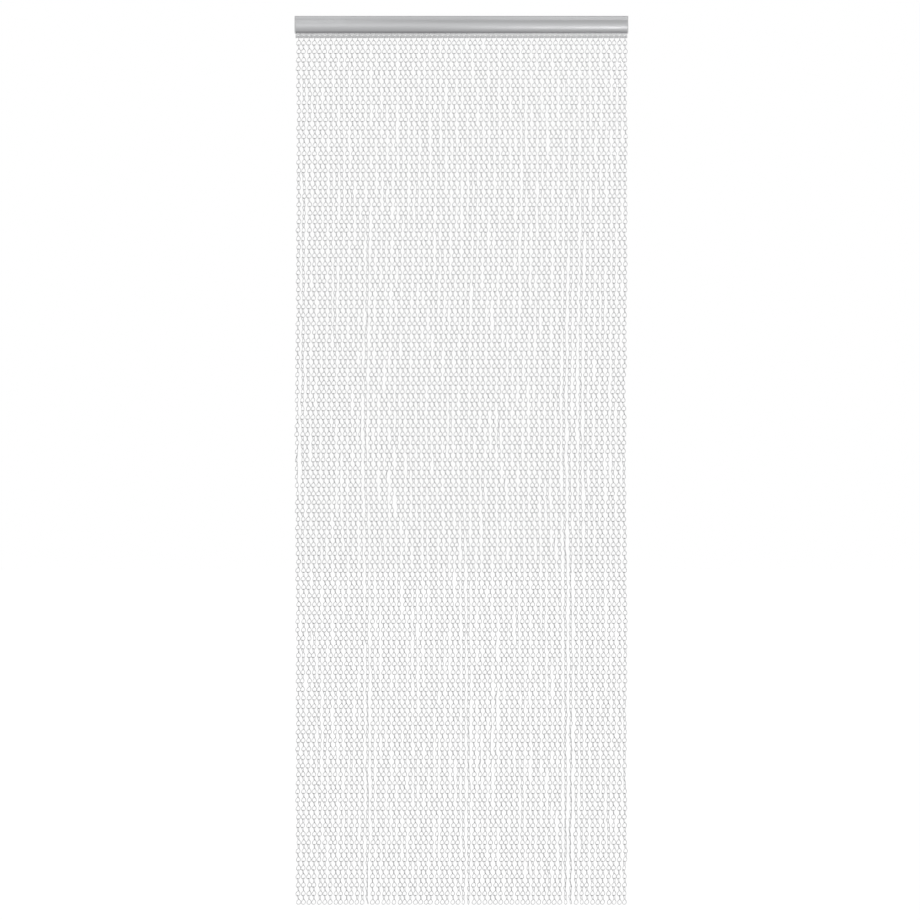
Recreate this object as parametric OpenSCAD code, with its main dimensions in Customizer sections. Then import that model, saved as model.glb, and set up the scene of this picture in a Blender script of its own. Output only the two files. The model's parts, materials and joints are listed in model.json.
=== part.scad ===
// Chain fly curtain: a two-part rail, a row of hanger clips and hanging strands of wire chain.
// Millimetres, +Z up, the front towards -Y. The origin is midway between the wall screws, on the wall face.

/* [Curtain] */
// Chain strands, two to a swinging pair
strands = 62; // [50:2:72]
// Distance from one strand to the next
strand_pitch = 12.84; // [12:0.01:14]
// Links in one strand
links = 102; // [80:1:120]
// Distance from one link to the next
link_pitch = 20.34; // [18:0.01:22]

/* [Chain] */
// Width of a link across its loop
link_width = 12; // [9:0.1:12.3]
// Thickness of the wire
wire = 1.7; // [1.4:0.1:2]
// Width of the neck where one link holds the next
neck_width = 2.2; // [1.8:0.1:3]

/* [Rail] */
// Height of the rail
rail_height = 41; // [38:0.5:50]
// Depth of the rail from the wall to its top lip
rail_depth = 24; // [22:0.5:30]
// Wall thickness of the rail
rail_wall = 1.6; // [1.2:0.1:2]
// How far the cover bulges out beyond the top lip
cover_bulge = 3; // [1:0.5:5]
// Height of the lip above the cover
lip_height = 7.4; // [6:0.1:10]
// Rounding of the lip's top edge
lip_round = 2; // [1:0.1:3]
// Groove between the lip and the cover
groove = 2; // [1:0.1:3]
// Shadow gap between the cover's foot and the clips
shadow_gap = 3.2; // [1:0.1:5]
// Thickness of an end cap
cap_thickness = 3; // [2:0.5:5]
// Distance between the two wall screws
screw_spacing = 600; // [400:10:680]
// Diameter of a screw hole
screw_hole = 4.5; // [3.5:0.1:6]

/* [Hanger clips] */
// Height of a clip below the rail
clip_drop = 12; // [11:0.5:18]
// Width of a clip
clip_width = 12.2; // [10:0.1:13]
// Thickness of a clip from front to back
clip_depth = 4.4; // [3.5:0.1:5]
// Diameter of the cross pin
pin_d = 2.4; // [2:0.1:3]
// Free space around the pin and the clip's stem
clearance = 0.3; // [0.2:0.05:0.5]

/* [Hidden] */
$fn = 48;
pairs = strands / 2;
rail_top = rail_height / 2;
rail_low = -rail_height / 2;
clip_body = min(clip_width, strand_pitch - 0.5);
clip_head = clip_body - 2.2;
rail_length = (strands - 1) * strand_pitch + clip_head + 0.76;
loop_width = min(link_width, strand_pitch - 0.7);
lip_low = rail_top - lip_height;
cover_top = lip_low - groove;
cover_low = rail_low + shadow_gap;
lip_y = -rail_depth;
plug_y = lip_y + 2 * max(rail_wall, lip_round) + 0.2;
channel_roof = rail_low + 11.5;
slot_y = -rail_depth / 2;
slot_half = clip_depth / 2 + clearance;
channel_y = slot_y - 5 - rail_wall;
clip_low = rail_low - clip_drop;
pin_z = clip_low + 3.1;
eye_r = pin_d / 2 + clearance + wire / 2;
fork_half = wire / 2 + 1;
chain_top = pin_z - 5.5;
// Each leaf runs past its link by this much at both ends, so that neighbours meet in a neck
neck_lap = 0.325 * neck_width * (link_pitch / loop_width - loop_width / link_pitch);
// The cover's outer face is one arc between its top rim and its foot
arc_top = cover_top - 1;
arc_mid = (arc_top + cover_low) / 2;
arc_half = (arc_top - cover_low) / 2;
arc_rise = cover_bulge + 0.4;
arc_r = (arc_half * arc_half + arc_rise * arc_rise) / (2 * arc_rise);
arc_y = lip_y - cover_bulge + arc_r;
cover_wall = rail_wall - 0.2;
function pair_name(k) = str("chain_pair_", k < 10 ? "0" : "", k);
function strand_x(i) = (i - (strands - 1) / 2) * strand_pitch;

// A box in the rail's section, given by its corners as front-to-back and height
module section_box(y0, z0, y1, z1) {
    translate([y0, z0]) square([y1 - y0, z1 - z0]);
}

// Draws a section along the rail
module along_rail(length) {
    translate([-length / 2, 0, 0])
        rotate([90, 0, 90])
            linear_extrude(length) children();
}

// The half-round front of the cover, out to a given distance inside its face
module cover_disc(inset) {
    translate([arc_y, arc_mid]) circle(r = arc_r - inset, $fn = 180);
}

module rail_track() {
    color([0.78, 0.79, 0.81])
        difference() {
            along_rail(rail_length) {
                section_box(-rail_wall - 0.2, rail_low, 0, rail_top);
                section_box(lip_y + lip_round, rail_top - rail_wall, 0, rail_top);
                section_box(lip_y, lip_low, lip_y + rail_wall, rail_top - lip_round);
                translate([lip_y + lip_round, rail_top - lip_round]) circle(lip_round);
                section_box(lip_y + rail_wall, cover_top - 5, lip_y + 2 * rail_wall - 0.2, rail_top);
                section_box(channel_y, channel_roof, 0, channel_roof + rail_wall);
                section_box(channel_y, rail_low, channel_y + rail_wall, channel_roof + rail_wall);
                section_box(channel_y, rail_low, slot_y - slot_half, rail_low + rail_wall);
                section_box(slot_y + slot_half, rail_low, 0, rail_low + rail_wall);
            }
            for (side = [-1, 1])
                translate([side * screw_spacing / 2, 0, 0])
                    rotate([90, 0, 0])
                        cylinder(d = screw_hole, h = 8, center = true);
        }
}

module rail_cover() {
    color([0.8, 0.81, 0.83])
        along_rail(rail_length) {
            intersection() {
                difference() {
                    cover_disc(0);
                    cover_disc(cover_wall);
                }
                section_box(lip_y - 10, cover_low, lip_y + rail_wall, arc_top + 0.6);
            }
            section_box(lip_y + 0.2, arc_top, lip_y + rail_wall, cover_top);
            section_box(lip_y + 0.6, cover_low, channel_y, cover_low + cover_wall);
        }
}

// An end cap: a plate with the rail's outline, and a plug behind the lip
module end_cap(side) {
    color([0.72, 0.73, 0.75])
        translate([side * rail_length / 2, 0, 0])
            mirror([side < 0 ? 1 : 0, 0, 0])
                union() {
                    rotate([90, 0, 90])
                        linear_extrude(cap_thickness) {
                            section_box(lip_y, rail_low, 0, rail_top);
                            intersection() {
                                cover_disc(0);
                                section_box(lip_y - 10, cover_low, lip_y + 1, arc_top + 0.6);
                            }
                        }
                    translate([-9, plug_y, cover_top])
                        cube([10, -rail_wall - 0.4 - plug_y, rail_top - rail_wall - 0.2 - cover_top]);
                }
}

module end_cap_left() {
    end_cap(-1);
}

module end_cap_right() {
    end_cap(1);
}

// One clip: a head that rests in the channel, a stem through the slot and a fork with a cross pin
module clip() {
    head_z = rail_low + rail_wall;
    union() {
        difference() {
            union() {
                along_rail(clip_head) {
                    section_box(slot_y - 4.2, head_z, slot_y + 4.2, head_z + 2);
                    section_box(slot_y - clip_depth / 2, rail_low - 2, slot_y + clip_depth / 2, head_z + 1);
                }
                translate([-clip_body / 2, slot_y - clip_depth / 2, clip_low])
                    cube([clip_body, clip_depth, clip_drop - clearance]);
            }
            translate([-fork_half, slot_y - 10, clip_low - 1])
                cube([2 * fork_half, 20, 1 + pin_z - clip_low + eye_r + wire / 2 + 1]);
        }
        translate([0, slot_y, pin_z])
            rotate([0, 90, 0])
                cylinder(d = pin_d, h = clip_body - 2, center = true, $fn = 32);
    }
}

module hanger_clips() {
    color([0.86, 0.87, 0.88])
        for (i = [0:strands - 1])
            translate([strand_x(i), 0, 0]) clip();
}

// The leaf-shaped outline of one link
module leaf(width, height) {
    r = (width * width + height * height) / (4 * width);
    intersection() {
        translate([r - width / 2, 0]) circle(r);
        translate([width / 2 - r, 0]) circle(r);
    }
}

// One strand with its top eye around the clip's pin
module strand() {
    stem_top = pin_z - eye_r;
    union() {
        translate([0, 0, pin_z])
            rotate([0, 90, 0])
                linear_extrude(wire, center = true)
                    difference() {
                        circle(r = eye_r + wire / 2);
                        circle(r = eye_r - wire / 2);
                    }
        rotate([90, 0, 0])
            linear_extrude(wire, center = true) {
                for (j = [0:links - 1])
                    translate([0, chain_top - neck_lap - (j + 0.5) * link_pitch])
                        leaf(loop_width, link_pitch + 2 * neck_lap);
                translate([-neck_width / 2, chain_top - 2])
                    square([neck_width, stem_top - chain_top + 2]);
            }
    }
}

module chain_pair(k) {
    color([0.74, 0.75, 0.77])
        for (i = [2 * k - 2, 2 * k - 1])
            translate([strand_x(i), slot_y, 0]) strand();
}

rail_track();
rail_cover();
end_cap_left();
end_cap_right();
hanger_clips();
for (k = [1:pairs])
    chain_pair(k);
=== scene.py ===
"""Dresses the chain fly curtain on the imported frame.

Makes the bent wire links, the hanger clips and the end caps, and finishes the rail.
"""

import json
import math
import random

import bmesh
import bpy
from bpy.props import (
    FloatProperty,
    FloatVectorProperty,
    IntProperty,
    PointerProperty,
)
from mathutils import Matrix, Vector


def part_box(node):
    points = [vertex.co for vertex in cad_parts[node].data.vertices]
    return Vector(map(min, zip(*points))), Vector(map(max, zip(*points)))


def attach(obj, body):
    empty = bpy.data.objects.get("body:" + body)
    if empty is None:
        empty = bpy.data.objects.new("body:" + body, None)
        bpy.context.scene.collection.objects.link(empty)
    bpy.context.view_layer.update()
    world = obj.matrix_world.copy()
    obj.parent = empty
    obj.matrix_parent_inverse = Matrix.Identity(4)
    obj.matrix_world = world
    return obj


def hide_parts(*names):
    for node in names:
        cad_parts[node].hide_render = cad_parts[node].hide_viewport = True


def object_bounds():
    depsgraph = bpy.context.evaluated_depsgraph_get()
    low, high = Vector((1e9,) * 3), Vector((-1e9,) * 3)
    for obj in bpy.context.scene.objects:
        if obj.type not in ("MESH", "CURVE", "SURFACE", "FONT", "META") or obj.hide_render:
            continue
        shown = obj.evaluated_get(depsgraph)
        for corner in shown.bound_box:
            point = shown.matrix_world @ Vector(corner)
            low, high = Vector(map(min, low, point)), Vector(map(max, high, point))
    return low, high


bl_info = {
    "name": "Chain Fly Curtain",
    "version": (1, 0, 0),
    "blender": (4, 5, 0),
    "location": "View3D > Sidebar > Curtain",
    "description": "Makes a door curtain of hanging wire chains on a slim wall rail",
    "category": "Object",
}

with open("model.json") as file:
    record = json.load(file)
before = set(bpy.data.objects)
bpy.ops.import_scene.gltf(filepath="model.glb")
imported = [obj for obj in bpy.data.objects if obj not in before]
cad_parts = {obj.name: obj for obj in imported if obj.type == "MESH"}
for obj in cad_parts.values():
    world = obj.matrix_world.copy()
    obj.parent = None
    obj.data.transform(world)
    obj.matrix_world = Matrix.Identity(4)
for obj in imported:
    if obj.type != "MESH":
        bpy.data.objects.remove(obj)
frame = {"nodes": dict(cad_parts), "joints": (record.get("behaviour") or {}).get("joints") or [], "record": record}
CAD_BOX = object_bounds()
MM = 0.001
# Points closer than this are one point
JOIN = 1e-6
# What every colour setting has in common
COLOUR = {"subtype": "COLOR", "min": 0, "max": 1}

# The wire of a link has four sides, and so many steps in the bends of half a loop or half an eye
WIRE_SIDES = 4
LOOP_STEPS = (3, 2, 1)
EYE_STEPS = (2, 1)
# At a link's waist, in wires: how far the eye's ends reach below it, and how far from the middle
# the ends of the loop and of the eye lie
EYE_LAP = 0.6
LOOP_WAIST = 0.66
EYE_WAIST = 0.62
# Reach of the painted shade where links touch, in wires, at a link's waist and at its loop's end
WAIST_SHADE = 3.4
END_SHADE = 2.8
# Free space between the pin and the first eye, and between one link and the next
PIN_PLAY = 0.15 * MM
LINK_PLAY = 0.1 * MM

# Strands that hang turned over most of their length, and how far in terms of the chain's turn
TURNED = {13: 2.0, 14: -1.2, 31: 1.6, 32: 2.2, 48: -1.2, 50: 2.4, 51: 2.2, 53: 2.4}
# Links below the clip over which the turns and the depth of a strand grow
CALM_LINKS = 8
# Slow and quick turns: the share that a link takes from the one above, and the spread of its own
SLOW_KEPT, SLOW_OWN = 0.96, 0.18
QUICK_KEPT, QUICK_OWN = 0.5, 0.6
# The most that a link leans, in radians
MOST_LEAN = 0.12
# Depth between neighbouring strands, in wires
STAGGER = 1.15
# Bows of the strands to one side: amount, share of the way down, and reach
BOWS = ((0.35, 0.16, 0.1), (-1, 0.45, 0.15))
# How far strands drift to one side by their foot, and where across a bow the outer strands begin
DRIFT = 0.3
OUTER = 0.1

# The cover's flat rim above its arc, and how far behind the lip the arc begins
COVER_RIM = 1 * MM
ARC_SINK = 0.4 * MM
# Walls and free space of the rail before, behind and above a cap's plug
PLUG_FRONT = 4.2 * MM
PLUG_BACK = 2 * MM
PLUG_TOP = 1.8 * MM
# A clip: free space under the rail, the fork's roof above the pin, the rim and depth of the sunk
# faces, how much shorter the pin is than the clip, and the stem's and head's shape
CLIP_GAP = 0.3 * MM
FORK_ROOF = 4.2 * MM
SUNK_RIM = 0.7 * MM
SUNK_DEPTH = 0.3 * MM
PIN_SHORT = 2 * MM
STEM_INSET = 1.1 * MM
STEM_LAP = 0.6 * MM
HEAD = 2 * MM

# Bands of painted light and shade, from start to end along a direction: painted shade in the
# channel under the cover and on the cover's foot, painted light on the clips' tops, shade on their feet
# Painted shade: a dark shadow line on the track's channel under the cover
CHANNEL_PAINTED_SHADE = {
    "tone": (0.27, 0.27, 0.276),
    "direction": (0, -0.6, -0.8),
    "start": 23.8 * MM,
    "end": 24.8 * MM,
}
# Painted shade: the cover darker towards its foot
COVER_FOOT_PAINTED_SHADE = {
    "tone": (0.4, 0.402, 0.41),
    "direction": (0, 0, -1),
    "start": 8 * MM,
    "end": 18 * MM,
}
# Painted light: the clips paler at their top, where the rail shades them
CLIP_TOP_PAINTED_LIGHT = {
    "tone": (0.97, 0.97, 0.975),
    "direction": (0, 0, 1),
    "start": -25.5 * MM,
    "end": -21 * MM,
}
# Painted shade: the clips darker at their foot
CLIP_FOOT_PAINTED_SHADE = {
    "tone": (0.53, 0.533, 0.54),
    "direction": (0, 0, -1),
    "start": 26.6 * MM,
    "end": 28.6 * MM,
}
# Depth of the fine relief on all finishes
RELIEF = 0.1 * MM
# What the groups of the finishes put out
FINISH_OUTPUTS = (
    ("Colour", "NodeSocketColor"),
    ("Roughness", "NodeSocketFloat"),
    ("Height", "NodeSocketFloat"),
)
# Sockets of a Mix node that mixes colours
MIX_FACTOR, MIX_A, MIX_B, MIX_RESULT = 0, 6, 7, 2

# The floor: half its width in metres, its white, the share of the white that shows, and how much
# of that shows in reflections
FLOOR_HALF = 40
FLOOR_WHITE = 1.06
FLOOR_SHARE = 0.9
FLOOR_GLOSSY = 0.6
# The surround's white in reflections
WORLD_GLOSSY = 0.8
# The camera's sensor in millimetres, how far it sees in metres, and where it stands from the
# curtain's middle, to the side and up
SENSOR = 36
FAR = 200
VIEW_ASIDE = -3.4 * MM
VIEW_UP = 1.2 * MM


class ChainSettings(bpy.types.PropertyGroup):
    """Sizes and finish of the wire chains."""

    links: IntProperty(
        name="Links", description="Links in one strand", default=102, min=2
    )
    wire: FloatProperty(
        name="Wire", description="Thickness of the wire", default=1.7 * MM, unit="LENGTH"
    )
    loop_width: FloatProperty(
        name="Loop width",
        description="Width over the front loop of a link",
        default=11.8 * MM,
        unit="LENGTH",
    )
    loop_drop: FloatProperty(
        name="Loop drop",
        description="From the waist of a link down to the middle of its lowest wire",
        default=12.2 * MM,
        unit="LENGTH",
    )
    eye_width: FloatProperty(
        name="Eye width",
        description="Width over the small eye on top of a link",
        default=6.3 * MM,
        unit="LENGTH",
    )
    eye_turn: FloatProperty(
        name="Eye turn",
        description="How far the eye is turned from square to its loop",
        default=math.radians(42),
        subtype="ANGLE",
    )
    nip: FloatProperty(
        name="Nip",
        description="Radius of the bend that closes the loop at its waist",
        default=1.6 * MM,
        unit="LENGTH",
    )
    pin: FloatProperty(
        name="Pin", description="Thickness of the clip's pin", default=2.4 * MM, unit="LENGTH"
    )
    turn: FloatProperty(
        name="Turn",
        description="How far links turn about the strand",
        default=math.radians(22),
        subtype="ANGLE",
    )
    lean: FloatProperty(
        name="Lean",
        description="How far links lean to one side",
        default=math.radians(2.8),
        subtype="ANGLE",
    )
    slant: FloatProperty(
        name="Slant",
        description="How far a turned link slants between its neighbours",
        default=math.radians(8),
        subtype="ANGLE",
    )
    sway: FloatProperty(
        name="Sway",
        description="How far the middle strands stand aside half way down",
        default=7 * MM,
        unit="LENGTH",
    )
    kink: FloatProperty(
        name="Kink",
        description="How far the waist of a link stands to the side of its eye",
        default=1.4 * MM,
        unit="LENGTH",
    )
    colour: FloatVectorProperty(
        name="Colour",
        description="Bright drawn aluminium",
        default=(0.745, 0.748, 0.755),
        **COLOUR,
    )
    # Painted shade where links touch each other
    junction_shade_colour: FloatVectorProperty(
        name="Rub colour",
        description="Dull grey where links rub on each other",
        default=(0.55, 0.55, 0.555),
        **COLOUR,
    )
    seed: IntProperty(name="Seed", description="Start of the turns", default=7)


class RailSettings(bpy.types.PropertyGroup):
    """Sizes and finish of the rail, its caps and its clips."""

    track_colour: FloatVectorProperty(
        name="Track colour",
        description="Satin anodised aluminium of the track and its lip",
        default=(0.47, 0.473, 0.48),
        **COLOUR,
    )
    cover_colour: FloatVectorProperty(
        name="Cover colour",
        description="Satin anodised aluminium of the cover",
        default=(0.5, 0.503, 0.51),
        **COLOUR,
    )
    cap_colour: FloatVectorProperty(
        name="Cap colour",
        description="Grey moulded plastic",
        default=(0.5, 0.503, 0.51),
        **COLOUR,
    )
    clip_colour: FloatVectorProperty(
        name="Clip colour",
        description="Pale moulded plastic",
        default=(0.66, 0.664, 0.67),
        **COLOUR,
    )
    edge: FloatProperty(
        name="Edge", description="Rounding of moulded edges", default=0.5 * MM, unit="LENGTH"
    )
    plate: FloatProperty(
        name="Cap plate", description="Thickness of an end cap", default=3 * MM, unit="LENGTH"
    )
    clip_width: FloatProperty(
        name="Clip width", description="Width of a clip", default=12.7 * MM, unit="LENGTH"
    )
    clip_depth: FloatProperty(
        name="Clip depth", description="Thickness of a clip", default=4.4 * MM, unit="LENGTH"
    )
    fork: FloatProperty(
        name="Fork", description="Width of a clip's fork", default=3.7 * MM, unit="LENGTH"
    )


class StageSettings(bpy.types.PropertyGroup):
    """Floor, lamps and camera."""

    floor_colour: FloatVectorProperty(
        name="Floor colour",
        description="Plain pale floor",
        default=(0.9, 0.9, 0.9),
        **COLOUR,
    )
    floor_gap: FloatProperty(
        name="Floor gap",
        description="From the lowest loop down to the floor",
        default=60 * MM,
        unit="LENGTH",
    )
    view_width: FloatProperty(
        name="View width",
        description="Width of the view at the chains",
        default=2207.3 * MM,
        unit="LENGTH",
    )
    lens: FloatProperty(
        name="Lens", description="Focal length of the camera", default=200, unit="CAMERA"
    )
    key: FloatProperty(
        name="Key lamp", description="Power of the large front lamp", default=30, unit="POWER"
    )
    spot: FloatProperty(
        name="Spot lamp",
        description="Power of the spot on the rail's right half",
        default=21,
        unit="POWER",
    )
    top: FloatProperty(
        name="Top lamp", description="Power of the strip above the rail", default=0.3, unit="POWER"
    )


class CurtainSettings(bpy.types.PropertyGroup):
    """All that a user would change on the curtain."""

    chain: PointerProperty(type=ChainSettings)
    rail: PointerProperty(type=RailSettings)
    stage: PointerProperty(type=StageSettings)


def settings():
    """The scene's curtain settings."""
    return bpy.context.scene.chain_curtain


def feed(tree, socket, value):
    """Links a socket to another one, or gives it a plain value."""
    if isinstance(value, bpy.types.NodeSocket):
        tree.links.new(value, socket)
    else:
        socket.default_value = value


def shade_node(tree, kind, inputs, **options):
    """Adds a shader node with its options, and feeds its inputs by their name or number."""
    node = tree.nodes.new("ShaderNode" + kind)
    for option, value in options.items():
        setattr(node, option, value)
    for socket, value in inputs.items():
        feed(tree, node.inputs[socket], value)
    return node


def math_result(tree, operation, *values):
    """What a Math node makes of sockets and plain values."""
    return shade_node(tree, "Math", dict(enumerate(values)), operation=operation).outputs[0]


def mixed_colour(tree, factor, first, second, blend="MIX"):
    """What a Mix node makes of two colours."""
    inputs = {MIX_FACTOR: factor, MIX_A: first, MIX_B: second}
    node = shade_node(tree, "Mix", inputs, data_type="RGBA", blend_type=blend)
    return node.outputs[MIX_RESULT]


def noise(tree, place, scale, detail):
    """A soft random pattern."""
    inputs = {"Vector": place, "Scale": scale, "Detail": detail}
    return shade_node(tree, "TexNoise", inputs).outputs["Fac"]


def object_place(tree):
    """The place on a piece, which moves with it."""
    return tree.nodes.new("ShaderNodeTexCoord").outputs["Object"]


def new_group(name, inputs, outputs):
    """A new shader group with the given sockets, and what it is given and puts out."""
    group = bpy.data.node_groups.new(name, "ShaderNodeTree")
    for label, kind, value in inputs:
        socket = group.interface.new_socket(label, in_out="INPUT", socket_type=kind)
        socket.default_value = value
    for label, kind in outputs:
        group.interface.new_socket(label, in_out="OUTPUT", socket_type=kind)
    given = group.nodes.new("NodeGroupInput").outputs
    result = group.nodes.new("NodeGroupOutput").inputs
    return group, given, result


def drawn_metal():
    """Lengthwise drawing marks and soft dull patches of plain aluminium."""
    group = bpy.data.node_groups.get("Drawn metal")
    if group:
        return group
    group, given, result = new_group(
        "Drawn metal",
        [
            ("Colour", "NodeSocketColor", (0.6, 0.6, 0.6, 1)),
            ("Stretch", "NodeSocketVector", (1, 1, 1)),
            ("Marks", "NodeSocketFloat", 0.1),
            ("Roughness", "NodeSocketFloat", 0.35),
        ],
        FINISH_OUTPUTS,
    )
    place = object_place(group)
    along = shade_node(group, "VectorMath", {0: place, 1: given["Stretch"]}, operation="MULTIPLY")
    streak = noise(group, along.outputs[0], scale=1, detail=4)
    patch = noise(group, place, scale=26, detail=3)
    amount = math_result(group, "MULTIPLY", streak, given["Marks"])
    dark = (0.55, 0.55, 0.56, 1)
    spread = shade_node(group, "MapRange", {"Value": patch, "To Min": -0.07, "To Max": 0.09})
    rough = math_result(group, "ADD", given["Roughness"], spread.outputs[0])
    feed(group, result["Colour"], mixed_colour(group, amount, given["Colour"], dark, "MULTIPLY"))
    feed(group, result["Roughness"], rough)
    feed(group, result["Height"], streak)
    return group


def moulded_grain():
    """Fine spark-eroded grain and faint handling marks of moulded plastic."""
    group = bpy.data.node_groups.get("Moulded grain")
    if group:
        return group
    group, given, result = new_group(
        "Moulded grain",
        [
            ("Colour", "NodeSocketColor", (0.6, 0.6, 0.6, 1)),
            ("Grain", "NodeSocketFloat", 900),
            ("Roughness", "NodeSocketFloat", 0.5),
        ],
        FINISH_OUTPUTS,
    )
    place = object_place(group)
    grain = noise(group, place, scale=given["Grain"], detail=2)
    cloud = noise(group, place, scale=35, detail=2)
    marks = shade_node(group, "MapRange", {"Value": cloud, "To Min": 0, "To Max": 0.22}).outputs[0]
    dark = (0.7, 0.7, 0.68, 1)
    rough = math_result(group, "MULTIPLY_ADD", cloud, 0.16, given["Roughness"])
    feed(group, result["Colour"], mixed_colour(group, marks, given["Colour"], dark, "MULTIPLY"))
    feed(group, result["Roughness"], rough)
    feed(group, result["Height"], grain)
    return group


def painted_shading_band():
    """Painted light and shade past a plane, for the rail's channel, the cover's foot and the clips' ends."""
    group = bpy.data.node_groups.get("Painted shading band")
    if group:
        return group
    group, given, result = new_group(
        "Painted shading band",
        [
            ("Colour", "NodeSocketColor", (0.6, 0.6, 0.6, 1)),
            ("Tone", "NodeSocketColor", (0.3, 0.3, 0.3, 1)),
            ("Direction", "NodeSocketVector", (0, 0, -1)),
            ("From", "NodeSocketFloat", 0.0),
            ("To", "NodeSocketFloat", 1.0),
        ],
        [("Colour", "NodeSocketColor")],
    )
    place = object_place(group)
    depth = shade_node(
        group, "VectorMath", {0: place, 1: given["Direction"]}, operation="DOT_PRODUCT"
    )
    mask = shade_node(
        group,
        "MapRange",
        {"Value": depth.outputs["Value"], "From Min": given["From"], "From Max": given["To"]},
        interpolation_type="SMOOTHSTEP",
    )
    tone = mixed_colour(group, mask.outputs[0], given["Colour"], given["Tone"])
    feed(group, result["Colour"], tone)
    return group


def add_painted_shading(material, tone, direction, start, end):
    """Puts a painted shading band between a finish and its shader's base colour."""
    tree = material.node_tree
    base = tree.nodes["Principled BSDF"].inputs["Base Color"]
    values = {
        "Colour": base.links[0].from_socket,
        "Tone": (*tone, 1),
        "Direction": direction,
        "From": start,
        "To": end,
    }
    band = shade_node(tree, "Group", values, node_tree=painted_shading_band())
    feed(tree, base, band.outputs["Colour"])


def add_junction_shade(material, tone):
    """Greys a wire with painted shade where its mesh marks that links touch each other."""
    tree = material.node_tree
    base = tree.nodes["Principled BSDF"].inputs["Base Color"]
    shade = shade_node(tree, "Attribute", {}, attribute_name="shade")
    finish = base.links[0].from_socket
    feed(tree, base, mixed_colour(tree, shade.outputs["Fac"], finish, (*tone, 1)))


def finish_material(name, group, values, metallic, bump):
    """A material whose colour, roughness and fine relief come from one of the groups."""
    material = bpy.data.materials.new(name)
    material.use_nodes = True
    tree = material.node_tree
    effect = shade_node(tree, "Group", values, node_tree=group).outputs
    relief = shade_node(
        tree, "Bump", {"Strength": bump, "Distance": RELIEF, "Height": effect["Height"]}
    )
    shader = tree.nodes["Principled BSDF"].inputs
    feed(tree, shader["Metallic"], metallic)
    feed(tree, shader["Base Color"], effect["Colour"])
    feed(tree, shader["Roughness"], effect["Roughness"])
    feed(tree, shader["Normal"], relief.outputs["Normal"])
    return material


def to_mesh(name, bm):
    """The mesh of a finished bmesh."""
    mesh = bpy.data.meshes.new(name)
    bm.to_mesh(mesh)
    bm.free()
    return mesh


def shown_piece(name, bm, material, body, nodes):
    """Makes a piece of a finished bmesh, which rides on a body and stands for CAD nodes."""
    mesh = to_mesh(name, bm)
    mesh.materials.append(material)
    piece = bpy.data.objects.new(name, mesh)
    bpy.context.scene.collection.objects.link(piece)
    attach(piece, body)
    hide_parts(*nodes)


def only(kind, geom):
    """The vertices, edges or faces in an operator's result."""
    return [item for item in geom if isinstance(item, kind)]


def edges_of(verts):
    """The edges at some vertices, each once and in order."""
    return list(dict.fromkeys(edge for vert in verts for edge in vert.link_edges))


def add_copy(bm, mesh, place):
    """Adds a mesh to a bmesh at a place, and gives its vertices there."""
    count = len(bm.verts)
    bm.from_mesh(mesh)
    bm.verts.ensure_lookup_table()
    verts = bm.verts[count:]
    bmesh.ops.transform(bm, matrix=place, verts=verts)
    return verts


def bent_wire(bm, wire, start, facing, bends):
    """Draws a wire from a ring at start through the given bends, and closes its end."""
    ring = bmesh.ops.create_circle(
        bm,
        segments=WIRE_SIDES,
        radius=wire / 2,
        matrix=Matrix.Translation(start) @ facing,
    )
    geom = edges_of(ring["verts"])
    for bend in bends:
        turned = bmesh.ops.spin(bm, geom=geom, **bend)
        geom = only(bmesh.types.BMEdge, turned["geom_last"])
    bmesh.ops.contextual_create(bm, geom=geom)


def wire_loop(wire, width, drop, axis, waist, nip, steps):
    """A hanging loop of wire, drawn from its round end up to its waist and mirrored."""
    across = {"X": Vector((1, 0, 0)), "Y": Vector((0, 1, 0))}[axis]
    half = (width - wire) / 2
    knee = half - drop
    sweep = 2 * math.atan2(half - waist, -knee)
    side_r = -knee / math.sin(sweep) - nip
    bends = [
        (Vector((0, 0, knee)), -math.pi / 2),
        (across * (half - side_r) + Vector((0, 0, knee)), -sweep),
        (across * (waist + nip), sweep),
    ]
    spin_axis = Vector((0, 0, 1)).cross(across)
    bm = bmesh.new()
    bent_wire(
        bm,
        wire,
        Vector((0, 0, -drop)),
        across.to_track_quat("Z", "Y").to_matrix().to_4x4(),
        [
            {"cent": centre, "axis": spin_axis, "angle": angle, "steps": count}
            for (centre, angle), count in zip(bends, steps)
        ],
    )
    geom = bm.faces[:] + bm.edges[:] + bm.verts[:]
    bmesh.ops.mirror(bm, geom=geom, merge_dist=JOIN, axis=axis)
    return bm


def box_shape(bm, low, high):
    """Adds a box between two corners and gives its vertices."""
    size = high - low
    made = bmesh.ops.create_cube(
        bm,
        size=1,
        matrix=Matrix.Translation((low + high) / 2) @ Matrix.Diagonal((*size, 1)),
    )
    return made["verts"]


def round_edges(bm, edges, width, segments):
    """Rounds edges of a moulded piece."""
    bmesh.ops.bevel(
        bm,
        geom=edges,
        offset=width,
        offset_type="OFFSET",
        affect="EDGES",
        segments=segments,
        profile=0.5,
        material=-1,
    )


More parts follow.
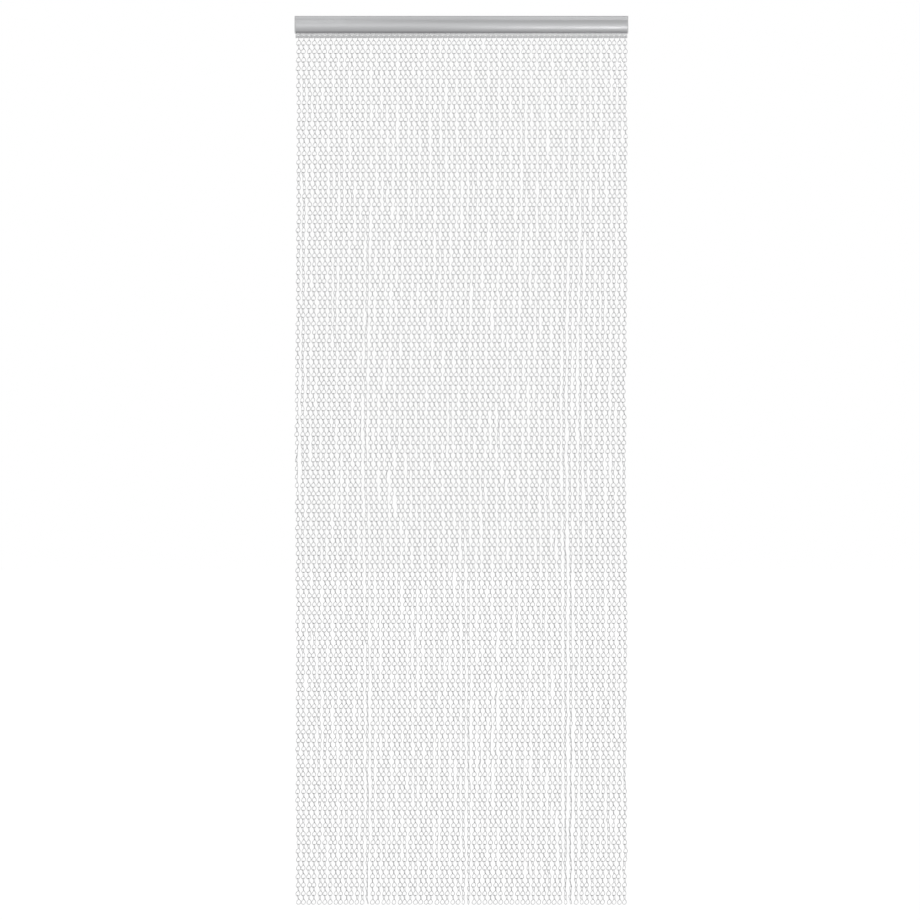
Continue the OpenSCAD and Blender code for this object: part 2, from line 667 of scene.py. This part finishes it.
def wire_link(chain, eye_height, eye_turn):
    """One link: a front loop, and a small turned eye with its ends between the loop's ends."""
    wire, drop, lap = chain.wire, chain.loop_drop, EYE_LAP * chain.wire
    bm = wire_loop(
        wire, chain.loop_width, drop, "X", LOOP_WAIST * wire, chain.nip, LOOP_STEPS
    )
    eye = wire_loop(wire, chain.eye_width, eye_height + lap, "Y", EYE_WAIST * wire, 0, EYE_STEPS)
    upright = (
        Matrix.Translation((0, 0, -lap))
        @ Matrix.Rotation(eye_turn, 4, "Z")
        @ Matrix.Rotation(math.pi, 4, "Y")
    )
    bmesh.ops.transform(eye, matrix=upright, verts=eye.verts[:])
    # The waist stands aside, and both ends stay on the strand's line
    for part, reach in ((bm, -drop), (eye, eye_height)):
        aside = Matrix.Translation((chain.kink, 0, 0))
        aside[0][2] = -chain.kink / reach
        bmesh.ops.transform(part, matrix=aside, verts=part.verts[:])
    loop_count = len(bm.verts)
    eye_mesh = to_mesh("wire_eye", eye)
    bm.from_mesh(eye_mesh)
    bpy.data.meshes.remove(eye_mesh)
    bmesh.ops.recalc_face_normals(bm, faces=bm.faces[:])
    for face in bm.faces:
        face.smooth = True
    # Painted shade where links touch: a share of grey at the waist and at the loop's end
    shade = bm.verts.layers.float.new("shade")
    for k, vert in enumerate(bm.verts):
        z = vert.co.z
        if k < loop_count:
            away = min(abs(z) / WAIST_SHADE, abs(z + drop) / END_SHADE)
        else:
            away = abs(eye_height - z)
        vert[shade] = max(0, 1 - away / wire)
    return to_mesh("wire_link", bm)


def strand_places():
    """The points on the clips' pins that the strands hang from."""
    pins = [Vector(joint["pos_m"]) for joint in frame["joints"]]
    half_pitch = (pins[1] - pins[0]) / 4
    return [pin + side * half_pitch for pin in pins for side in (-1, 1)]


def sway_at(drop, across):
    """How far a strand stands aside, in sways, by its share of the way down and across."""
    bow = sum(
        amount * math.exp(-(((drop - middle) / reach) ** 2)) for amount, middle, reach in BOWS
    )
    return (bow - DRIFT * drop) * math.sin(math.pi * (OUTER + (1 - 2 * OUTER) * across))


class CURTAIN_OT_rail(bpy.types.Operator):
    """Finish the two rail extrusions in satin aluminium, with painted shade on the channel and cover's foot"""

    bl_idname = "curtain.rail"
    bl_label = "Rail"

    def execute(self, context):
        rail = settings().rail
        for node, colour, band in (
            ("rail_track", rail.track_colour, CHANNEL_PAINTED_SHADE),
            ("rail_cover", rail.cover_colour, COVER_FOOT_PAINTED_SHADE),
        ):
            values = {
                "Colour": (*colour, 1),
                "Stretch": (9, 1600, 1600),
                "Marks": 0.16,
                "Roughness": 0.38,
            }
            metal = finish_material(
                node + "_aluminium", drawn_metal(), values, metallic=1.0, bump=0.06
            )
            # Painted shade: a dark line on the track's channel under the cover, the cover darker towards its foot
            add_painted_shading(metal, **band)
            mesh = frame["nodes"][node].data
            mesh.materials.clear()
            mesh.materials.append(metal)
        return {"FINISHED"}


class CURTAIN_OT_end_caps(bpy.types.Operator):
    """Make the two moulded end caps with rounded edges and a plug"""

    bl_idname = "curtain.end_caps"
    bl_label = "End caps"

    def execute(self, context):
        rail = settings().rail
        values = {"Colour": (*rail.cap_colour, 1), "Grain": 1400, "Roughness": 0.42}
        plastic = finish_material(
            "cap_plastic", moulded_grain(), values, metallic=0.0, bump=0.12
        )
        for node, side in (("end_cap_left", -1), ("end_cap_right", 1)):
            bm = bmesh.new()
            self.plate(bm, rail, side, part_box(node))
            self.plug(bm, rail, side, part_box(node))
            bmesh.ops.recalc_face_normals(bm, faces=bm.faces[:])
            shown_piece(node + "_moulded", bm, plastic, "rail", [node])
        return {"FINISHED"}

    def plate(self, bm, rail, side, box):
        """The plate over the rail's end, with the cover's round front and softened edges."""
        low, high = box
        outer = high.x if side > 0 else low.x
        cover_low, cover_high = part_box("rail_cover")
        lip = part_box("rail_track")[0].y
        arc_low, arc_high = cover_low.z, cover_high.z - COVER_RIM
        half, rise = (arc_high - arc_low) / 2, lip - low.y + ARC_SINK
        radius = (half * half + rise * rise) / (2 * rise)
        centre = Vector((outer, low.y + radius, (arc_low + arc_high) / 2))
        swing = math.asin(half / radius)
        first = bm.verts.new(centre + Vector((0, -radius * math.cos(swing), -half)))
        arc = bmesh.ops.spin(
            bm, geom=[first], cent=centre, axis=(1, 0, 0), angle=-2 * swing, steps=10
        )
        last = only(bmesh.types.BMVert, arc["geom_last"])[0]
        corners = (
            (lip, first.co.z),
            (lip, low.z),
            (high.y, low.z),
            (high.y, high.z),
            (lip, high.z),
            (lip, last.co.z),
        )
        outline = [first, *(bm.verts.new((outer, y, z)) for y, z in corners), last]
        for a, b in zip(outline, outline[1:]):
            bm.edges.new((a, b))
        bmesh.ops.edgeloop_fill(bm, edges=bm.edges[:])
        made = bmesh.ops.extrude_face_region(bm, geom=bm.faces[:])
        inner = only(bmesh.types.BMVert, made["geom"])
        bmesh.ops.translate(bm, verts=inner, vec=(-side * rail.plate, 0, 0))
        outer_edges = [
            edge for edge in bm.edges if all(abs(v.co.x - outer) < JOIN for v in edge.verts)
        ]
        round_edges(bm, outer_edges, 2 * rail.edge, 3)

    def plug(self, bm, rail, side, box):
        """The block that holds the cap inside the rail."""
        low, high = box
        track_low, track_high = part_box("rail_track")
        ends = (low.x, track_high.x) if side > 0 else (track_low.x, high.x)
        near = Vector((ends[0], track_low.y + PLUG_FRONT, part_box("rail_cover")[1].z))
        far = Vector((ends[1], track_high.y - PLUG_BACK, track_high.z - PLUG_TOP))
        round_edges(bm, edges_of(box_shape(bm, near, far)), rail.edge, 2)


class CURTAIN_OT_clips(bpy.types.Operator):
    """Make the row of forked hanger clips with their pins"""

    bl_idname = "curtain.clips"
    bl_label = "Hanger clips"

    def execute(self, context):
        rail = settings().rail
        values = {"Colour": (*rail.clip_colour, 1), "Grain": 1800, "Roughness": 0.4}
        plastic = finish_material(
            "clip_plastic", moulded_grain(), values, metallic=0.0, bump=0.1
        )
        # Painted light on the clips' tops under the rail, and painted shade on their feet
        add_painted_shading(plastic, **CLIP_TOP_PAINTED_LIGHT)
        add_painted_shading(plastic, **CLIP_FOOT_PAINTED_SHADE)
        bm = bmesh.new()
        self.one_clip(bm, rail)
        bmesh.ops.recalc_face_normals(bm, faces=bm.faces[:])
        shape = to_mesh("clip", bm)
        row = bmesh.new()
        for place in strand_places():
            add_copy(row, shape, Matrix.Translation(place))
        bpy.data.meshes.remove(shape)
        shown_piece("hanger_clips_moulded", row, plastic, "rail", ["hanger_clips"])
        return {"FINISHED"}

    def one_clip(self, bm, rail):
        """One clip about its pin: forked body with sunk faces, pin, stem and head."""
        pin = Vector(frame["joints"][0]["pos_m"])
        low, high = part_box("hanger_clips")
        foot, head = low.z - pin.z + rail.edge, high.z - pin.z
        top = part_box("rail_track")[0].z - pin.z - CLIP_GAP
        wide, deep, fork = rail.clip_width / 2, rail.clip_depth / 2, rail.fork / 2
        outline = [
            (-wide, foot),
            (-fork, foot),
            (-fork, FORK_ROOF),
            (fork, FORK_ROOF),
            (fork, foot),
            (wide, foot),
            (wide, top),
            (-wide, top),
        ]
        front = bm.faces.new([bm.verts.new((x, -deep, z)) for x, z in outline])
        made = bmesh.ops.extrude_face_region(bm, geom=[front])
        back = only(bmesh.types.BMVert, made["geom"])
        bmesh.ops.translate(bm, verts=back, vec=(0, 2 * deep, 0))
        round_edges(bm, bm.edges[:], rail.edge, 2)
        # Only the front and the back have more than six corners
        flat = [face for face in bm.faces if abs(face.normal.y) > 0.99 and len(face.verts) > 6]
        bmesh.ops.inset_region(
            bm, faces=flat, thickness=SUNK_RIM, depth=-SUNK_DEPTH, use_even_offset=True
        )
        pin_radius = settings().chain.pin / 2
        bmesh.ops.create_cone(
            bm,
            cap_ends=True,
            segments=12,
            radius1=pin_radius,
            radius2=pin_radius,
            depth=2 * wide - PIN_SHORT,
            matrix=Matrix.Rotation(math.pi / 2, 4, "Y"),
        )
        slim = wide - STEM_INSET
        box_shape(
            bm, Vector((-slim, -deep, top - STEM_LAP)), Vector((slim, deep, head - HEAD / 2))
        )
        ledge = box_shape(
            bm, Vector((-slim, low.y - pin.y, head - HEAD)), Vector((slim, high.y - pin.y, head))
        )
        round_edges(bm, edges_of(ledge), rail.edge, 2)


class CURTAIN_OT_chains(bpy.types.Operator):
    """Hang the wire chains, two strands to a swinging pair"""

    bl_idname = "curtain.chains"
    bl_label = "Chains"

    def execute(self, context):
        chain = settings().chain
        values = {
            "Colour": (*chain.colour, 1),
            "Stretch": (700, 700, 60),
            "Marks": 0.3,
            "Roughness": 0.3,
        }
        metal = finish_material("drawn_wire", drawn_metal(), values, metallic=1.0, bump=0.05)
        # Painted shade greys the wire where links touch
        add_junction_shade(metal, chain.junction_shade_colour)
        bodies = frame["record"]["behaviour"]["bodies"]
        places = strand_places()
        node = bodies[frame["joints"][0]["child"]][0]
        top = chain.pin / 2 + chain.wire / 2 + PIN_PLAY
        drop = places[0].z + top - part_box(node)[0].z - chain.wire / 2
        pitch = (drop - chain.wire - LINK_PLAY) / chain.links
        length = pitch + chain.wire + LINK_PLAY
        first = wire_link(chain, length - chain.loop_drop, 0)
        link = wire_link(chain, length - chain.loop_drop, chain.eye_turn)
        for k, joint in enumerate(frame["joints"]):
            body = joint["child"]
            node = bodies[body][0]
            bm = bmesh.new()
            for number in (2 * k, 2 * k + 1):
                hook = places[number] + Vector((0, 0, top))
                self.strand(bm, first, link, chain, hook, pitch, length, number)
            shown_piece(node + "_wire", bm, metal, body, [node])
        bpy.data.meshes.remove(first)
        bpy.data.meshes.remove(link)
        return {"FINISHED"}

    def strand(self, bm, first, link, chain, hook, pitch, length, number):
        """Adds one strand: the first eye square to the pin, each link hung in the one above and
        turned in its own way."""
        chance = random.Random(100 * chain.seed + number)
        settle = TURNED.get(number, 0) * chain.turn
        slow, quick, shift = 0, 0, 0
        eye = length - chain.loop_drop
        across = number / (2 * len(frame["joints"]) - 1)
        stagger = (number % 2 - 0.5) * STAGGER * chain.wire
        for j in range(chain.links):
            slow = settle + SLOW_KEPT * (slow - settle) + chance.gauss(0, SLOW_OWN) * chain.turn
            quick = QUICK_KEPT * quick + chance.gauss(0, QUICK_OWN) * chain.turn
            turn = (slow + quick) * min(1, (j + 1) / CALM_LINKS)
            slant = chain.slant * max(-1, min(1, turn * abs(turn)))
            aside = chain.sway * sway_at((j + 1) / chain.links, across)
            lean = chance.gauss(0, 1) * chain.lean + (shift - aside) / length
            lean = max(-MOST_LEAN, min(MOST_LEAN, lean))
            depth = stagger * min(1, j / CALM_LINKS)
            place = (
                Matrix.Translation(hook + Vector((shift, depth, -j * pitch)))
                @ Matrix.Rotation(lean, 4, "Y")
                @ Matrix.Translation((0, 0, -length / 2))
                @ Matrix.Rotation(-slant, 4, "Y")
                @ Matrix.Rotation(turn, 4, "Z")
                @ Matrix.Translation((0, 0, length / 2 - eye))
            )
            verts = add_copy(bm, link if j else first, place)
            shift -= (pitch + chain.wire) * math.sin(lean)
        # The lowest loop touches no link below it, so it gets no painted shade
        shade = bm.verts.layers.float["shade"]
        for vert in verts:
            if vert.co.z < hook.z - (chain.links - 1) * pitch - eye - chain.loop_drop / 2:
                vert[shade] = 0


class CURTAIN_OT_stage(bpy.types.Operator):
    """Set up the pale floor, the soft lamps and the camera"""

    bl_idname = "curtain.stage"
    bl_label = "Stage"

    def execute(self, context):
        stage = settings().stage
        scene = context.scene
        scene.view_settings.view_transform = "Standard"
        self.floor(stage)
        self.world(scene)
        self.lamp(
            "key",
            place=(-2.2, -4.2, 0.7),
            aim=(0, 0, -0.9),
            size=(3.6, 3.0),
            power=stage.key,
        )
        self.spot(
            "rail_spot",
            place=(0.55, -2.6, -0.544),
            aim=(0.45, 0, -0.01),
            cone=math.radians(26),
            power=stage.spot,
        )
        self.lamp(
            "rail_top",
            place=(-0.5, -0.57, 0.59),
            aim=(-0.45, 0, 0),
            size=(0.5, 0.12),
            power=stage.top,
        )
        self.camera(scene, stage)
        return {"FINISHED"}

    def camera(self, scene, stage):
        """The camera, square to the curtain's front."""
        centre = (CAD_BOX[0] + CAD_BOX[1]) / 2
        data = bpy.data.cameras.new("camera")
        data.lens = stage.lens
        data.sensor_width = SENSOR
        data.clip_end = FAR
        distance = stage.view_width * stage.lens / SENSOR
        camera = bpy.data.objects.new("camera", data)
        camera.location = (
            centre.x + VIEW_ASIDE,
            frame["joints"][0]["pos_m"][1] - distance,
            centre.z + VIEW_UP,
        )
        camera.rotation_euler = (math.pi / 2, 0, 0)
        scene.collection.objects.link(camera)
        scene.camera = camera

    def seen(self, tree, glossy):
        """How much of the white background shows: all where it is looked at, the glossy share in
        reflections, and nothing where it lights."""
        path = tree.nodes.new("ShaderNodeLightPath").outputs
        total = math_result(tree, "MULTIPLY", path["Is Glossy Ray"], glossy)
        for label in ("Is Camera Ray", "Is Transmission Ray"):
            total = math_result(tree, "MAXIMUM", total, path[label])
        return total

    def floor(self, stage):
        """A wide pale floor below the lowest loops."""
        bm = bmesh.new()
        bmesh.ops.create_grid(bm, x_segments=1, y_segments=1, size=FLOOR_HALF)
        mesh = to_mesh("floor", bm)
        floor = bpy.data.objects.new("floor", mesh)
        floor.location.z = CAD_BOX[0].z - stage.floor_gap
        bpy.context.scene.collection.objects.link(floor)
        material = bpy.data.materials.new("pale_floor")
        material.use_nodes = True
        tree = material.node_tree
        tree.nodes.clear()
        plain = shade_node(tree, "BsdfDiffuse", {"Color": (*stage.floor_colour, 1)})
        white = shade_node(tree, "Emission", {"Strength": FLOOR_WHITE})
        share = math_result(tree, "MULTIPLY", self.seen(tree, FLOOR_GLOSSY), FLOOR_SHARE)
        mix = shade_node(tree, "MixShader", {0: share, 1: plain.outputs[0], 2: white.outputs[0]})
        shade_node(tree, "OutputMaterial", {"Surface": mix.outputs[0]})
        mesh.materials.append(material)

    def world(self, scene):
        """A white surround that is looked at, and a softer one that lights."""
        world = bpy.data.worlds.new("surround")
        scene.world = world
        world.use_nodes = True
        tree = world.node_tree
        place = tree.nodes.new("ShaderNodeTexCoord").outputs["Generated"]
        height = shade_node(tree, "SeparateXYZ", {0: place}).outputs["Z"]
        fade = shade_node(
            tree,
            "MapRange",
            {"Value": height, "From Min": 0.2, "From Max": 0.95, "To Min": 1.0, "To Max": 0.65},
            interpolation_type="SMOOTHSTEP",
        )
        strength = math_result(tree, "MAXIMUM", fade.outputs[0], self.seen(tree, WORLD_GLOSSY))
        sky = tree.nodes["Background"].inputs
        feed(tree, sky["Color"], (1, 1, 1, 1))
        feed(tree, sky["Strength"], strength)

    def lamp(self, name, place, aim, size, power):
        """A soft rectangular lamp that points at aim."""
        data = bpy.data.lights.new(name, "AREA")
        data.shape = "RECTANGLE"
        data.size, data.size_y = size
        data.energy = power
        self.hang(data, place, aim)

    def spot(self, name, place, aim, cone, power):
        """A round lamp with a soft cone, out of reach of the swinging chains."""
        data = bpy.data.lights.new(name, "SPOT")
        data.spot_size, data.spot_blend = cone, 1
        data.shadow_soft_size = 0.1
        data.energy = power
        self.hang(data, place, aim)

    def hang(self, data, place, aim):
        """Puts a lamp in its place and turns it to aim."""
        lamp = bpy.data.objects.new(data.name, data)
        lamp.location = place
        lamp.rotation_euler = (Vector(aim) - Vector(place)).to_track_quat("-Z", "Y").to_euler()
        bpy.context.scene.collection.objects.link(lamp)


class CURTAIN_PT_panel(bpy.types.Panel):
    """The curtain's pieces and settings"""

    bl_label = "Chain fly curtain"
    bl_idname = "CURTAIN_PT_panel"
    bl_space_type = "VIEW_3D"
    bl_region_type = "UI"
    bl_category = "Curtain"

    def draw(self, context):
        curtain = context.scene.chain_curtain
        for group in (curtain.chain, curtain.rail, curtain.stage):
            box = self.layout.box()
            for name in group.__annotations__:
                box.prop(group, name)
        for operator in OPERATORS:
            self.layout.operator(operator.bl_idname)


OPERATORS = (
    CURTAIN_OT_rail,
    CURTAIN_OT_end_caps,
    CURTAIN_OT_clips,
    CURTAIN_OT_chains,
    CURTAIN_OT_stage,
)
CLASSES = (
    ChainSettings,
    RailSettings,
    StageSettings,
    CurtainSettings,
    *OPERATORS,
    CURTAIN_PT_panel,
)


def register():
    for cls in CLASSES:
        bpy.utils.register_class(cls)
    bpy.types.Scene.chain_curtain = PointerProperty(type=CurtainSettings)


def unregister():
    del bpy.types.Scene.chain_curtain
    for cls in reversed(CLASSES):
        bpy.utils.unregister_class(cls)


def main():
    register()
    bpy.ops.curtain.rail()
    bpy.ops.curtain.end_caps()
    bpy.ops.curtain.clips()
    bpy.ops.curtain.chains()
    bpy.ops.curtain.stage()


if __name__ == "__main__":
    main()
